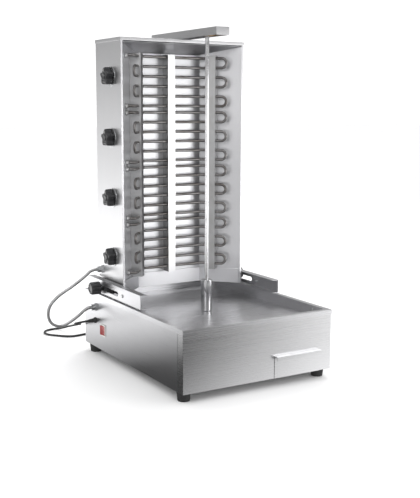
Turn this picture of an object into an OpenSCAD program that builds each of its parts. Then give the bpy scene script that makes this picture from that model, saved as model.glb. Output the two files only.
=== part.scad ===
/* [Base] */
// Width of the base
body_w = 500; // [480:5:520]
// Depth of the base, front to back
body_d = 650; // [640:5:700]
// Height of the base above its feet
body_h = 177; // [165:1:200]
// Height of the rubber feet
foot_h = 27; // [20:1:35]
// Thickness of the sheet steel
sheet = 1.5; // [1.2:0.1:1.6]
// Width of the flat rim round the drip pan
rim_w = 16; // [15:0.5:18]
// Depth of the drip pan under its rim
pan_depth = 32; // [26:1:36]
// Height of the pan's lip that folds down over the walls
lip_h = 14; // [10:1:16]
// How far the front panel wraps round each side
wrap = 30; // [24:1:34]

/* [Grease drawer] */
// Width of the drawer's front plate
drawer_w = 158; // [120:1:170]
// Height of the drawer's front plate
drawer_h = 65; // [58:1:70]
// Centre of the drawer, to the right of the middle
drawer_x = 127; // [110:1:140]
// Depth of the drawer's tray
drawer_len = 198; // [150:1:205]
// How far the grip stands out in front of the base
grip_out = 14; // [12:0.5:18]

/* [Heater carriage] */
// Width of the heater housing
heater_w = 430; // [420:2:436]
// Front edges of the heater, behind the base's front
heater_front = 431; // [425:1:440]
// Depth of the heater housing
heater_d = 177; // [170:1:185]
// Underside of the heater housing above the floor
heater_z = 212; // [210:0.5:214]
// Height of the heater housing
heater_h = 776; // [770:1:790]
// Width of the flat back reflector
back_w = 230; // [220:2:240]
// Depth of the recess between the reflector wings
recess = 104; // [98:1:108]
// Height of the plain strip along the foot of the reflectors
strip_h = 46; // [40:1:48]

/* [Heating elements] */
// Diameter of an element's tube
rod_d = 8.5; // [6:0.5:9]
// Height between neighbouring rods of an element
rod_pitch = 30; // [28:0.5:30]
// Height between the nearest rods of two elements
zone_gap = 20; // [16:0.5:22]
// Height of the lowest rod above the floor
rod_low = 278; // [274:1:280]
// How far the rods stand in front of the reflectors
rod_off = 25; // [22:0.5:28]

/* [Spit] */
// Spit axis, behind the base's front
spit_y = 296; // [290:1:300]
// Diameter of the spit rod
spit_d = 12; // [12:0.5:13]
// Diameter of the driven socket that holds the rod
socket_d = 35; // [34:0.5:38]
// Top of the socket above the floor
socket_top = 268; // [255:1:275]

/* [Guide rails] */
// Outer faces of the two rails, from the middle
rail_x = 243; // [242:0.5:243]
// Height of a rail
rail_h = 41.5; // [41.5:0.5:43]
// Gap under a rail
rail_gap = 3.5; // [3:0.5:3.5]
// Front end of the rails, behind the base's front
rail_front = 260; // [250:1:270]
// Back end of the rails, behind the base's front
rail_back = 630; // [626:1:634]

/* [Knobs and top arm] */
// Height of the lowest heat knob
knob_low = 326; // [320:1:330]
// Height between heat knobs
knob_pitch = 183; // [180:0.5:184]
// Heat knobs' axes, behind the base's front
knob_y = 501; // [499:0.5:503]
// Width of the top arm
arm_w = 44; // [42:0.5:50]
// Height of the top arm
arm_h = 23; // [22:0.5:26]
// Front end of the top arm, behind the base's front
arm_front = 210; // [205:1:215]

/* [Hidden] */

// The origin is on the floor, in the middle of the machine's box, so the front is at front_y.
front_y = (grip_out - body_d) / 2;
half_w = body_w / 2;
wall_x = half_w - sheet;
rim_z = foot_h + body_h;
pan_x = half_w - rim_w;
pan_z = rim_z - pan_depth;
pan_screw_y = [74, body_d - 60];

heater_x = heater_w / 2;
heater_back = heater_front + heater_d;
heater_top = heater_z + heater_h;
roof_lip = 10;
back_x = back_w / 2;
back_y = heater_front + recess;
wing_a = atan2(recess, heater_x - back_x);
hood_low = 38;
hood_front_drop = 13;

rods = 6;
zones = 4;
zone_h = (rods - 1) * rod_pitch + zone_gap;
element_end = 80;
bend_r = 18;
terminal_s = 98;
terminal_r = 12;
terminal_in = 14;
comb_s = 62;
comb_front = 36;

rail_z = rim_z + rail_gap;
slot_z = 226;
slot_h = 14;
slot_front = 408;
slot_back = 600;
shoe_front = 495;
shoe_len = 85;
stud_y = 531;
stud_d = 10;
stop_y = 380;
shoe_screw_y = [510, 565];
shoe_screw_z = 228;
rail_screw_x = 239.2;
rail_screw_y = [285, 450, 612];
lock_d = 40;
lock_out = 281;
run = 0.05;

knob_d = 56;
knob_len = 24;
spindle_d = 6;
shaft_d = 20;

drawer_z = foot_h;
drain_y = 80;
conduit_d = 10;
cord_d = 7;
cord_y = 568;
cord_z = 114;
relief_x = -272;
low_gland_y = 562;
low_gland_z = 158;
low_gland_x = -266;
high_gland_y = 579;
high_gland_z = 275;
high_gland_x = -237;
gland_hex_r = 12.5;
gland_cap_r = 9.5;
gland_thread_r = 7.8;
gland_nut_r = 11;
coil_turns_r = 39.5;
coil_across = 3 * cord_d;
coil_x = -110;
coil_y = 771.5;
plug_x = coil_x + 28;
plug_y = coil_y + coil_turns_r + cord_d;
plug_r = 19;
relief_len = 28;
plug_len = 30;
pin_len = 20;

switch_y = 508;
switch_z = 93;
switch_w = 34;
switch_h = 37;
rocker_h = 29.8;

steel = "gainsboro";
dark_steel = "dimgray";

// The mains lead: out of its relief, down to the floor and round to the outside of the coil.
cord_route = [
    [-272, 568, 114], [-279, 568, 114], [-293, 576, 111], [-303, 593, 105], [-300, 613, 99],
    [-288, 630, 93], [-274, 646, 88], [-262, 663, 83], [-253, 682, 78], [-246, 702, 72],
    [-241, 723, 67], [-237, 743, 61], [-234, 764, 55], [-232, 785, 49], [-230, 805, 43],
    [-227, 826, 37], [-224, 847, 31], [-221, 868, 25], [-219, 888, 19], [-221, 909, 12],
    [-230, 928, 6], [-247, 938, 4], [-267, 935, 4], [-285, 922, 4], [-295, 903, 4],
    [-295, 882, 4], [-286, 863, 4], [-272, 846, 4], [-257, 829, 4], [-241, 815, 4],
    [-221, 810, 4], [-200, 812, 4], [-178, 816, 4], [-156, 818, 4], [-137, 818, 4], [-118, 818, 4]
];

// The metal conduit that feeds the heater, hanging in a loop between its two glands.
conduit_route = [
    [-237, 579, 275], [-243, 579, 275], [-259, 577, 271], [-276, 574, 260], [-293, 572, 249],
    [-312, 570, 238], [-330, 568, 228], [-349, 566, 219], [-368, 564, 209], [-385, 562, 197],
    [-400, 561, 182], [-408, 561, 162], [-407, 562, 141], [-397, 564, 123], [-379, 565, 112],
    [-359, 567, 110], [-339, 567, 117], [-320, 565, 128], [-303, 563, 140], [-288, 562, 152],
    [-273, 562, 158], [-266, 562, 158]
];

function wing_pt(s, off) = [
    back_x + s * cos(wing_a) - off * sin(wing_a),
    back_y - s * sin(wing_a) - off * cos(wing_a)
];
function corner_pt(off) = [back_x - off * tan(wing_a / 2), back_y - off];
function mirrored(p) = [-p[0], p[1]];
function backwards(list) = [for (i = [len(list) - 1:-1:0]) list[i]];
function unit(v) = v / norm(v);

// Wing length that ends just inside the side wall.
wing_len = (heater_x - 2 * sheet - back_x) / cos(wing_a);

module at_front() {
    translate([0, front_y, 0]) children();
}

module left_right() {
    children();
    mirror([1, 0, 0]) children();
}

module block(x0, x1, y0, y1, z0, z1) {
    translate([x0, y0, z0]) cube([x1 - x0, y1 - y0, z1 - z0]);
}

// A box with round upright corners.
module rounded_block(x0, x1, y0, y1, z0, z1, r) {
    block(x0 + r, x1 - r, y0, y1, z0, z1);
    block(x0, x1, y0 + r, y1 - r, z0, z1);
    for (x = [x0 + r, x1 - r], y = [y0 + r, y1 - r])
        translate([x, y, z0]) cylinder(r = r, h = z1 - z0, $fn = 48);
}

module rod_z(x, y, z0, z1, r) {
    translate([x, y, z0]) cylinder(r = r, h = z1 - z0, $fn = 48);
}

module rod_x(x0, x1, y, z, r) {
    translate([x0, y, z]) rotate([0, 90, 0]) cylinder(r = r, h = x1 - x0, $fn = 48);
}

module rod_y(x, y0, y1, z, r) {
    translate([x, y0, z]) rotate([-90, 0, 0]) cylinder(r = r, h = y1 - y0, $fn = 48);
}

// One closed skin over a list of rings that all have the same number of points.
module skin(rings) {
    count = len(rings);
    sides = len(rings[0]);
    points = [for (ring = rings) each ring];
    walls = [
        for (i = [0:count - 2], j = [0:sides - 1])
            let (k = (j + 1) % sides)
            each [
                [i * sides + j, i * sides + k, (i + 1) * sides + k],
                [i * sides + j, (i + 1) * sides + k, (i + 1) * sides + j]
            ]
    ];
    first = [for (j = [sides - 1:-1:0]) j];
    last = [for (j = [0:sides - 1]) (count - 1) * sides + j];
    polyhedron(points = points, faces = concat(walls, [first, last]));
}

function heading(p, i) = unit(p[min(i + 1, len(p) - 1)] - p[max(i - 1, 0)]);

// Rings along a free route: each ring's side vector is carried on from the ring before.
function carried(p, i, side) =
    let (t = heading(p, i))
    unit(side - (side * t) * t);
function sides_along(p, i, side) =
    i == len(p) ? [] :
    let (u = carried(p, i, side))
    concat([u], sides_along(p, i + 1, u));
function tube_rings(p, r, n) =
    let (us = sides_along(p, 0, [0, 0, 1]))
    [
        for (i = [0:len(p) - 1])
            let (t = heading(p, i), u = us[i], v = cross(t, u))
            [for (j = [0:n - 1]) p[i] + r * (cos(360 * j / n) * u + sin(360 * j / n) * v)]
    ];

module tube(route, d, n) {
    skin(tube_rings(route, d / 2, n));
}

module base_housing() {
    color(steel) at_front() difference() {
        block(-wall_x, wall_x, wrap + 1, body_d - sheet, foot_h, rim_z - sheet);
        block(-wall_x + sheet, wall_x - sheet, 0, body_d - 2 * sheet, 0, rim_z);
        rod_x(-half_w, -wall_x + 2 * sheet, low_gland_y, low_gland_z, 8);
        rod_x(-half_w, -wall_x + 2 * sheet, cord_y, cord_z, 6);
        block(-half_w, -wall_x + 2 * sheet, switch_y - 15.5, switch_y + 15.5,
            switch_z - switch_h / 2 + 1.5, switch_z + switch_h / 2 - 1.5);
        for (i = [-5:5])
            block(i * 16 - 3, i * 16 + 3, body_d - 3 * sheet, body_d, 60, 110);
    }
}

module front_panel() {
    x0 = drawer_x - drawer_w / 2;
    x1 = drawer_x + drawer_w / 2;
    color(steel) at_front() difference() {
        block(-wall_x, wall_x, sheet, wrap, foot_h, rim_z - sheet);
        block(-wall_x + sheet, wall_x - sheet, 2 * sheet, wrap + 1, 0, rim_z);
        block(x0 + 2, x1 - 2, 0, wrap, drawer_z + 2, drawer_z + drawer_h - 2);
    }
}

module foot_places() {
    for (x = [-227, 227], y = [36, body_d - 36])
        translate([x, y, 0]) children();
}

module bottom_plate() {
    color(steel) at_front() difference() {
        block(-wall_x + sheet + 0.5, wall_x - sheet - 0.5, 4, body_d - 4, foot_h, foot_h + sheet);
        foot_places() rod_z(0, 0, 0, 60, 3.2);
        for (i = [-4:4])
            block(i * 14 - 3, i * 14 + 3, spit_y - 45, spit_y + 45, 0, 60);
    }
}

module drip_pan() {
    color(steel) at_front() difference() {
        union() {
            difference() {
                block(-half_w, half_w, 0, body_d, rim_z - lip_h, rim_z);
                block(-wall_x, wall_x, sheet, body_d - sheet, 0, rim_z - sheet);
            }
            rounded_block(-pan_x - sheet, pan_x + sheet, rim_w - sheet, body_d - rim_w + sheet,
                pan_z - sheet, rim_z - sheet, 13.5);
            rod_z(0, spit_y, pan_z, pan_z + 10, 13);
        }
        difference() {
            rounded_block(-pan_x, pan_x, rim_w, body_d - rim_w, pan_z, rim_z + 1, 12);
            rod_z(0, spit_y, pan_z, pan_z + 10, 13);
        }
        rod_z(0, spit_y, 0, rim_z, 11.5);
        rod_z(drawer_x, drain_y, 0, rim_z, 12);
        pan_screw_places() rod_x(-10, 10, 0, 0, 2.2);
        rail_screw_places() rod_z(0, 0, 0, rim_z + 1, 2.2);
    }
}

module pan_screw_places() {
    for (x = [-pan_x, pan_x], y = pan_screw_y)
        translate([x, y, rim_z - 12]) children();
}

module pan_screws() {
    color("silver") at_front() for (y = pan_screw_y) left_right() {
        rod_x(pan_x - 2.6, pan_x, y, rim_z - 12, 4.5);
        rod_x(pan_x, pan_x + 8, y, rim_z - 12, 2);
    }
}

module drain_spout() {
    color(steel) at_front() difference() {
        rod_z(drawer_x, drain_y, pan_z - 40, pan_z - sheet, 13.5);
        rod_z(drawer_x, drain_y, 0, rim_z, 12);
    }
}

module feet() {
    color("black") at_front() foot_places() difference() {
        cylinder(r1 = 17, r2 = 20, h = foot_h, $fn = 48);
        translate([0, 0, -1]) cylinder(r = 7.2, h = 13, $fn = 48);
        cylinder(r = 3.2, h = foot_h + 1, $fn = 48);
    }
}

module foot_screws() {
    color("silver") at_front() foot_places() {
        rod_z(0, 0, 8, 12, 6);
        rod_z(0, 0, 12, foot_h + 9, 3);
    }
}

module guide_rail() {
    color(steel) at_front() difference() {
        block(221, rail_x, rail_front, rail_back, rail_z, rail_z + rail_h);
        block(200, rail_x - sheet, rail_front - 1, rail_back + 1, rail_z + sheet,
            rail_z + rail_h - sheet);
        block(230, 260, slot_front + slot_h / 2, slot_back - slot_h / 2,
            slot_z - slot_h / 2, slot_z + slot_h / 2);
        for (y = [slot_front + slot_h / 2, slot_back - slot_h / 2])
            rod_x(230, 260, y, slot_z, slot_h / 2);
        rod_x(230, 260, stop_y, slot_z, 3.2);
        for (y = rail_screw_y)
            rod_z(rail_screw_x, y, rail_z - 1, rail_z + 5, 2.2);
    }
}

module guide_rail_left() {
    mirror([1, 0, 0]) guide_rail();
}

module guide_rail_right() {
    guide_rail();
}

module rail_screw_places() {
    for (x = [-rail_screw_x, rail_screw_x], y = rail_screw_y)
        translate([x, y, 0]) children();
}

// Spacers and screws under the rails, and the two screws that stop the carriage's forward travel.
module rail_screws() {
    color("silver") at_front() {
        rail_screw_places() {
            difference() {
                rod_z(0, 0, rim_z, rail_z, 3.4);
                rod_z(0, 0, rim_z - 1, rail_z + 1, 2.1);
            }
            rod_z(0, 0, rim_z - sheet - 3, rim_z - sheet, 3.4);
            rod_z(0, 0, rim_z - sheet, rail_z + sheet - 0.1, 2);
        }
        left_right() {
            rod_x(rail_x, rail_x + 2.4, stop_y, slot_z, 5);
            rod_x(rail_x - 7, rail_x, stop_y, slot_z, 3);
        }
    }
}

module gear_motor() {
    color("slategray") at_front() difference() {
        union() {
            rounded_block(-42, 42, spit_y - 38, spit_y + 38, pan_z - 66, pan_z - 24, 8);
            rod_z(0, spit_y, pan_z - 128, pan_z - 66, 33);
            rod_z(0, spit_y, pan_z - 134, pan_z - 128, 24);
        }
        rod_z(0, spit_y, pan_z - 60, pan_z, shaft_d / 2 + run);
    }
}

module motor_bracket() {
    color(steel) at_front() difference() {
        union() {
            block(-72, 72, spit_y - 50, spit_y + 50, pan_z - 24, pan_z - 21);
            left_right() {
                block(69, 72, spit_y - 50, spit_y + 50, pan_z - 24, pan_z - sheet);
                block(72, 92, spit_y - 50, spit_y + 50, pan_z - sheet - 2, pan_z - sheet);
            }
        }
        rod_z(0, spit_y, 0, rim_z, 16);
    }
}

module bearing_housing() {
    color("slategray") at_front() difference() {
        union() {
            rod_z(0, spit_y, pan_z - 21, pan_z - 15, 32);
            rod_z(0, spit_y, pan_z - 15, pan_z - sheet, 20);
        }
        rod_z(0, spit_y, 0, rim_z, shaft_d / 2 + run);
    }
}

module terminal_block() {
    color("ivory") at_front() difference() {
        block(-215, -155, 545, 570, foot_h + sheet, foot_h + 32);
        for (i = [0:4])
            rod_z(-207 + i * 11, 557, foot_h + 22, foot_h + 40, 3.5);
    }
}

module drawer_runners() {
    color(steel) at_front() for (side = [-1, 1]) translate([drawer_x, 0, 0]) scale([side, 1, 1]) {
        block(drawer_w / 2 - 4, drawer_w / 2 - 2.5, 5, 230, foot_h + sheet, foot_h + 24);
        block(drawer_w / 2 - 14, drawer_w / 2 - 4, 5, 230, foot_h + sheet, foot_h + 3);
    }
}

module switch_frame() {
    color("whitesmoke") at_front() difference() {
        union() {
            block(-half_w - 1, -wall_x, switch_y - switch_w / 2, switch_y + switch_w / 2,
                switch_z - switch_h / 2, switch_z + switch_h / 2);
            block(-wall_x, -wall_x + 24, switch_y - 15.3, switch_y + 15.3,
                switch_z - switch_h / 2 + 1.7, switch_z + switch_h / 2 - 1.7);
        }
        block(-half_w - 5, -wall_x + 20, switch_y - 14.3, switch_y + 14.3,
            switch_z - rocker_h / 2 - 0.4, switch_z + rocker_h / 2 + 0.4);
        rod_z(-wall_x + 1, switch_y, switch_z - rocker_h / 2 - 1.4, switch_z + rocker_h / 2 + 1.4,
            1.5 + run);
    }
}

// The rocker rests with its front end pressed in.
module switch_rocker() {
    color("firebrick") at_front() translate([-wall_x + 1, switch_y, 0]) rotate([0, 0, 8]) {
        translate([0, 0, switch_z - rocker_h / 2]) linear_extrude(height = rocker_h)
            polygon([[-5.5, -13.4], [-4, 0], [-5.5, 13.4], [-2, 13.2], [7, 5], [7, -5], [-2, -13.2]]);
        rod_z(0, 0, switch_z - rocker_h / 2 - 1.1, switch_z + rocker_h / 2 + 1.1, 1.5);
    }
}

// A hexagonal gland on a wall whose outer face is at face_x; its cap ends at tip_x.
module gland(tip_x, face_x, y, z) {
    difference() {
        union() {
            rod_x(tip_x, face_x, y, z, gland_cap_r);
            translate([face_x - 6, y, z]) rotate([0, 90, 0]) cylinder(r = gland_hex_r, h = 6, $fn = 6);
            rod_x(face_x, face_x + 6, y, z, gland_thread_r);
            rod_x(face_x + sheet, face_x + 6, y, z, gland_nut_r);
        }
        rod_x(tip_x - 3, face_x + 10, y, z, conduit_d / 2 - 1);
    }
}

module base_gland() {
    color(steel) at_front() gland(low_gland_x, -wall_x, low_gland_y, low_gland_z);
}

module strain_relief() {
    color("black") at_front() difference() {
        union() {
            rod_x(-wall_x - 3, -wall_x, cord_y, cord_z, 9);
            translate([-wall_x, cord_y, cord_z]) rotate([0, -90, 0])
                cylinder(r1 = 7.5, r2 = 5, h = -relief_x - wall_x, $fn = 48);
            rod_x(-wall_x, -wall_x + 10, cord_y, cord_z, 5.9);
            rod_x(-wall_x + sheet, -wall_x + 4, cord_y, cord_z, 8);
        }
        rod_x(relief_x - 8, -wall_x + 20, cord_y, cord_z, cord_d / 2 - 0.4);
    }
}

module power_cord() {
    color("black") at_front() tube(cord_route, cord_d, 8);
}

// Two layers of turns, which wind in on the floor and out again on top.
module cord_coil() {
    color("black") at_front() translate([coil_x, coil_y, 0.5]) rotate_extrude($fn = 96)
        translate([coil_turns_r - coil_across / 2, 0]) square([coil_across, 2 * cord_d]);
}

// A round two-pin plug lying on its side, with its relief where the last turn leaves the coil.
module cord_plug() {
    body_x = plug_x + relief_len;
    color("black") at_front() translate([0, plug_y, plug_r]) {
        translate([plug_x, 0, 0]) rotate([0, 90, 0]) cylinder(r1 = 5.5, r2 = 11, h = relief_len, $fn = 48);
        translate([body_x, 0, 0]) rotate([0, 90, 0]) cylinder(r1 = 17, r2 = plug_r, h = plug_len, $fn = 48);
        for (y = [-9.5, 9.5])
            rod_x(body_x + plug_len, body_x + plug_len + pin_len, y, 0, 2.4);
    }
}

module heater_conduit() {
    color("silver") at_front() tube(conduit_route, conduit_d, 10);
}

module spit_top_bush() {
    color("peru") at_front() difference() {
        block(-arm_w / 2 + 2.4, arm_w / 2 - 2.4, spit_y - 16, spit_y + 16,
            heater_top + 2, heater_top + 18);
        rod_z(0, spit_y, 900, 1100, spit_d / 2 + 0.1);
    }
}

module heater_shell() {
    z1 = heater_top - sheet;
    color(steel) at_front() difference() {
        block(-heater_x, heater_x, heater_front, heater_back, heater_z, z1);
        block(-heater_x + sheet, heater_x - sheet, 0, heater_back - sheet, 0, heater_top + 10);
        block(-160, 160, heater_back - 5, heater_back + 5, heater_z + 60, z1 - 60);
        knob_places() rod_x(-30, 30, 0, 0, 4);
        rod_x(-heater_x - 5, -heater_x + 5, high_gland_y, high_gland_z, 8);
        for (y = shoe_screw_y) rod_x(-heater_x - 5, heater_x + 5, y, shoe_screw_z, 3.1);
        cover_screw_places() rod_y(0, -10, 5, 0, 2.2);
    }
}

module heater_roof() {
    z1 = heater_top;
    color(steel) at_front() difference() {
        block(-heater_x - sheet, heater_x + sheet, heater_front - sheet, heater_back + sheet,
            z1 - roof_lip, z1);
        block(-heater_x, heater_x, heater_front, heater_back, 0, z1 - sheet);
    }
}

// Plan outline inside the housing and behind the reflectors, shrunk by gap.
module cavity_side_outline(gap) {
    x = heater_x - sheet - gap;
    y0 = heater_front + 4;
    polygon(concat(
        [[-x, y0]], [mirrored(wing_pt(wing_len, -sheet - gap))], [mirrored(corner_pt(-sheet - gap))],
        [corner_pt(-sheet - gap)], [wing_pt(wing_len, -sheet - gap)], [[x, y0]],
        [[x, heater_back - sheet - gap], [-x, heater_back - sheet - gap]]
    ));
}

module heater_floor() {
    color(steel) at_front() translate([0, 0, heater_z]) linear_extrude(height = sheet)
        cavity_side_outline(0.1);
}

module rear_cover() {
    color(steel) at_front() difference() {
        block(-175, 175, heater_back, heater_back + sheet, heater_z + 45, heater_top - 47);
        for (z = [heater_z + 90, heater_top - 92], i = [-6:6])
            block(i * 20 - 3, i * 20 + 3, heater_back - 1, heater_back + 5, z - 18, z + 18);
        cover_screw_places() rod_y(0, -5, 5, 0, 2.2);
    }
}

module cover_screw_places() {
    for (x = [-167, 167], z = [heater_z + 100, heater_z + 380, heater_z + 660])
        translate([x, heater_back + sheet, z]) children();
}

// Screws of the back cover, of the slide shoes and of the centre comb.
module heater_screws() {
    color("silver") at_front() {
        cover_screw_places() {
            rod_y(0, 0, 2, 0, 4);
            rod_y(0, -7, 0, 0, 2);
        }
        left_right() for (y = shoe_screw_y) {
            rod_x(heater_x - sheet - 3.5, heater_x - sheet, y, shoe_screw_z, 5.5);
            rod_x(heater_x - sheet, heater_x + 14, y, shoe_screw_z, 3);
        }
        for (z = [424, 546, 673, 797])
            rod_y(-8, back_y - comb_front - 2, back_y - comb_front, z, 3.5);
    }
}

// The sloping reflector under the roof, from the front lip down to the back reflector.
module hood_reflector() {
    z0 = heater_top - hood_low;
    z1 = heater_top - hood_front_drop;
    y0 = heater_front + 1;
    slope = atan2(z1 - z0, back_y - y0);
    color(steel) at_front() intersection() {
        translate([0, 0, z0 - 20]) linear_extrude(height = 80)
            polygon([
                mirrored(wing_pt(wing_len, 0.2)), mirrored(corner_pt(0.2)),
                corner_pt(0.2), wing_pt(wing_len, 0.2)
            ]);
        translate([-heater_w, back_y, z0]) rotate([-slope, 0, 0])
            translate([0, -3 * recess, 0]) cube([2 * heater_w, 4 * recess, sheet]);
    }
}

module back_reflector() {
    color(steel) at_front()
        block(-back_x, back_x, back_y, back_y + sheet, heater_z + sheet, heater_top - hood_low - 1);
}

module wing_reflector() {
    p0 = wing_pt(0, 0);
    p1 = wing_pt(wing_len, 0);
    p2 = wing_pt(wing_len, -sheet);
    p3 = wing_pt(0, -sheet);
    z1 = heater_top - 2 * sheet;
    color(steel) translate([0, 0, heater_z + sheet]) linear_extrude(height = z1 - heater_z - sheet)
        polygon([p0, p1, [p1[0] - 3, heater_front], [heater_x - sheet - 0.1, heater_front],
            [heater_x - sheet - 0.1, heater_front + sheet], p2, p3]);
}

module right_reflector() {
    at_front() wing_reflector();
}

// The left wing has a hole for each cold end of the elements.
module left_reflector() {
    p = wing_pt(terminal_s, 0);
    at_front() mirror([1, 0, 0]) difference() {
        wing_reflector();
        for (zone = [0:zones - 1], k = [0, rods - 1])
            translate([p[0], p[1], rod_height(zone, k)]) rotate([0, 0, -wing_a])
                rod_y(0, -5, 5, 0, rod_d / 2 + 1);
    }
}

// A folded strip that covers the foot of all three reflectors.
module lower_reflector() {
    inner = 5;
    outer = 0.4;
    s = wing_len - 4;
    color(steel) at_front() translate([0, 0, heater_z + sheet]) difference() {
        linear_extrude(height = strip_h)
            polygon([
                mirrored(wing_pt(s, outer)), mirrored(corner_pt(outer)), corner_pt(outer),
                wing_pt(s, outer), wing_pt(s, inner), corner_pt(inner),
                mirrored(corner_pt(inner)), mirrored(wing_pt(s, inner))
            ]);
        translate([0, 0, -1]) linear_extrude(height = strip_h - 1)
            polygon([
                mirrored(wing_pt(s + 9, outer - 1)), mirrored(corner_pt(outer - 1)),
                corner_pt(outer - 1), wing_pt(s + 9, outer - 1),
                wing_pt(s + 9, inner - sheet), corner_pt(inner - sheet),
                mirrored(corner_pt(inner - sheet)), mirrored(wing_pt(s + 9, inner - sheet))
            ]);
    }
}

function rod_height(zone, k) = rod_low + zone * zone_h + k * rod_pitch;
function all_rods() = [for (zone = [0:zones - 1], k = [0:rods - 1]) rod_height(zone, k)];

comb_z0 = heater_z + sheet + strip_h + 1;
comb_z1 = heater_top - hood_low - 4;

// A comb in its own frame: the web stands on the reflector along +Y and the flange faces the spit.
module comb(flange_w) {
    difference() {
        union() {
            block(0, 2, -comb_front, -0.2, comb_z0, comb_z1);
            block(0, flange_w, -comb_front, -comb_front + sheet, comb_z0, comb_z1);
        }
        for (z = all_rods())
            rod_x(-1, 3, -rod_off, z, rod_d / 2 + 0.5);
    }
}

module centre_comb() {
    color(dark_steel) at_front() translate([-20, back_y, 0]) comb(25);
}

// The flange reaches from the web towards the back reflector.
module side_comb() {
    p = wing_pt(comb_s, 0);
    translate([p[0], p[1], 0]) rotate([0, 0, -wing_a]) mirror([1, 0, 0]) comb(22);
}

module right_comb() {
    color(dark_steel) at_front() side_comb();
}

module left_comb() {
    color(dark_steel) at_front() mirror([1, 0, 0]) side_comb();
}

// Half of a rod in plan, from the middle of the back to a place along the wing: [x, y, angle].
function rod_plan(s) =
    let (
        c = corner_pt(rod_off),
        cx = c[0] - bend_r * tan(wing_a / 2),
        cy = c[1] - bend_r,
        end = wing_pt(s, rod_off)
    )
    concat(
        [for (k = [0:3])
            let (a = wing_a * k / 3)
            [cx + bend_r * sin(a), cy + bend_r * cos(a), a]],
        [[end[0], end[1], wing_a]]
    );
function flipped(plan) = [for (q = backwards(plan)) [-q[0], q[1], -q[2]]];
function rod_across(s_left, z) = [
    for (q = concat(flipped(rod_plan(s_left)), rod_plan(element_end))) [q[0], q[1], z, q[2]]
];

// A half turn between two rods at the end of a wing; side is 1 on the right and -1 on the left.
function turn(side, z) = [
    for (k = [1:5])
        let (
            a = 30 * k,
            q = wing_pt(element_end + rod_pitch / 2 * sin(a), rod_off)
        )
        [side * q[0], q[1], z + rod_pitch / 2 * (1 - cos(a)), side * wing_a]
];

// The cold end of an element, out of the left wing and round into the rod.
function cold_end(z) = concat(
    [
        let (q = wing_pt(terminal_s, -terminal_in))
        [-q[0], q[1], z, 90 - wing_a]
    ],
    [
        for (a = [0, 30, 60])
            let (q = wing_pt(
                terminal_s - terminal_r * (1 - cos(a)),
                rod_off - terminal_r * (1 - sin(a))
            ))
            [-q[0], q[1], z, 90 - wing_a - a]
    ]
);

// Rods are joined right, left, right and so on; the first and the last end in a cold end.
function element_path(zone) = [
    for (k = [0:rods - 1])
        let (
            z = rod_height(zone, k),
            outer = k == 0 || k == rods - 1,
            across = rod_across(outer ? terminal_s - terminal_r : element_end, z),
            row = concat(outer ? cold_end(z) : [], across)
        )
        each concat(
            k % 2 == 0 ? row : backwards(row),
            k == rods - 1 ? [] : turn(k % 2 == 0 ? 1 : -1, z)
        )
];

// Each ring lies across the tube, with its side vector held square to the bend it is in.
function element_rings(zone) =
    let (
        path = element_path(zone),
        places = [for (q = path) [q[0], q[1], q[2]]],
        n = 8
    )
    [
        for (i = [0:len(path) - 1])
            let (
                t = heading(places, i),
                side = [-sin(path[i][3]), -cos(path[i][3]), 0],
                u = unit(side - (side * t) * t),
                v = cross(t, u)
            )
            [for (j = [0:n - 1])
                places[i] + rod_d / 2 * (cos(360 * j / n) * u + sin(360 * j / n) * v)]
    ];

module heating_element(zone) {
    color("darkgray") at_front() skin(element_rings(zone));
}

module knob_places() {
    for (i = [0:zones - 1])
        translate([-heater_x, knob_y, knob_low + i * knob_pitch]) children();
}

module heat_regulators() {
    color("dimgray") at_front() knob_places() difference() {
        union() {
            block(4, 38, -18, 18, -20, 20);
            rod_x(sheet, 4, 0, 0, 8);
        }
        rod_x(-5, 20, 0, 0, spindle_d / 2 + run);
    }
}

module knob_bezels() {
    color("silver") at_front() knob_places() difference() {
        rod_x(-1.5, 0, 0, 0, 30);
        rod_x(-5, 5, 0, 0, 5);
    }
}

// A star knob with five rounded points, and its spindle.
module heat_knob(i) {
    z = knob_low + i * knob_pitch;
    color("black") at_front() translate([-heater_x, knob_y, z]) {
        difference() {
            rod_x(-2 - knob_len, -2, 0, 0, knob_d / 2);
            for (k = [0:4]) rotate([36 + 72 * k, 0, 0])
                rod_x(-3 - knob_len, -1, 0, knob_d / 2 + 8, 17);
        }
        rod_x(-2.5 - knob_len, -1 - knob_len, 0, 0, 10);
        rod_x(-2, 16, 0, 0, spindle_d / 2);
    }
}

module heater_gland() {
    color(steel) at_front() gland(high_gland_x, -heater_x, high_gland_y, high_gland_z);
}

// A low-friction block that runs in the rail's channel, with the lock knob's stud.
module slide_shoe() {
    color("dimgray") at_front() difference() {
        union() {
            block(heater_x, rail_x - sheet - 0.5, shoe_front, shoe_front + shoe_len,
                rail_z + sheet + 0.3, rail_z + rail_h - sheet - 0.3);
            rod_x(rail_x - sheet - 1, 264, stud_y, slot_z, stud_d / 2);
        }
        for (y = shoe_screw_y) rod_x(heater_x - 1, heater_x + 16, y, shoe_screw_z, 3.1);
    }
}

module slide_shoe_left() {
    mirror([1, 0, 0]) slide_shoe();
}

module slide_shoe_right() {
    slide_shoe();
}

module lock_knob() {
    color("black") at_front() difference() {
        union() {
            rod_x(rail_x + 5, lock_out, stud_y, slot_z, lock_d / 2);
            rod_x(rail_x + 0.5, rail_x + 5, stud_y, slot_z, 11);
        }
        rod_x(rail_x, 268, stud_y, slot_z, stud_d / 2 + run);
        for (k = [0:9]) translate([0, stud_y, slot_z]) rotate([36 * k, 0, 0])
            rod_x(rail_x + 12, lock_out + 1, 0, lock_d / 2 + 1.5, 4);
    }
}

module lock_knob_left() {
    mirror([1, 0, 0]) lock_knob();
}

module lock_knob_right() {
    lock_knob();
}

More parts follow.
